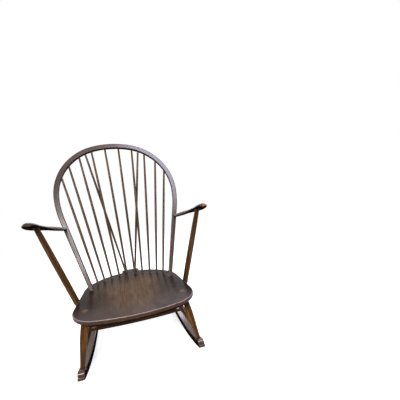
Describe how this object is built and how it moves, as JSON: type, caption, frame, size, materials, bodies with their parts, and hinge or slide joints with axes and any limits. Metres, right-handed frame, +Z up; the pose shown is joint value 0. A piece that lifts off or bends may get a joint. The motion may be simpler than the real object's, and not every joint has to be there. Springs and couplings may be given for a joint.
{
  "type": "rocking chair",
  "caption": "Wooden armchair on curved rockers, with a dished seat, a bent hoop back filled with turned spindles, two brace sticks, flat grips on slanted stumps and a stretcher frame.",
  "frame": {"origin": "on the floor under the middle of the chair's box, with the chair at rest on its rockers", "axes": "+Z up, -Y towards the front of the chair, +X to the right seen from the front; the chair is symmetric about the YZ plane"},
  "size_m": [0.7448, 0.7008, 0.9366],
  "materials": {
    "seat_wood": "dark walnut stain, satin lacquer, worn lighter in the middle",
    "bow_wood": "dark walnut stain, glossy lacquer",
    "spindle_wood": "dark walnut stain, satin lacquer",
    "arm_wood": "dark walnut stain, glossy lacquer",
    "turned_wood": "amber brown stain, satin lacquer",
    "rocker_wood": "brown stain, worn lacquer",
    "peg_wood": "light brown end grain, lacquered"
  },
  "bodies": {
    "root": {"arm_left": "arm_wood", "arm_right": "arm_wood", "arm_stump_left": "turned_wood", "arm_stump_right": "turned_wood", "back_spindle_01": "spindle_wood", "back_spindle_02": "spindle_wood", "back_spindle_03": "spindle_wood", "back_spindle_04": "spindle_wood", "back_spindle_05": "spindle_wood", "back_spindle_06": "spindle_wood", "back_spindle_07": "spindle_wood", "back_spindle_08": "spindle_wood", "back_spindle_09": "spindle_wood", "back_spindle_10": "spindle_wood", "brace_stick_left": "spindle_wood", "brace_stick_right": "spindle_wood", "cross_stretcher": "turned_wood", "hoop": "bow_wood", "hoop_wedges": "peg_wood", "leg_front_left": "turned_wood", "leg_front_right": "turned_wood", "leg_rear_left": "turned_wood", "leg_rear_right": "turned_wood", "leg_wedges": "peg_wood", "rocker_left": "rocker_wood", "rocker_pegs": "peg_wood", "rocker_right": "rocker_wood", "seat": "seat_wood", "side_stretcher_left": "turned_wood", "side_stretcher_right": "turned_wood", "stump_pegs": "peg_wood", "tail_dowels": "peg_wood", "tail_piece": "seat_wood"}
  },
  "joints": []
}
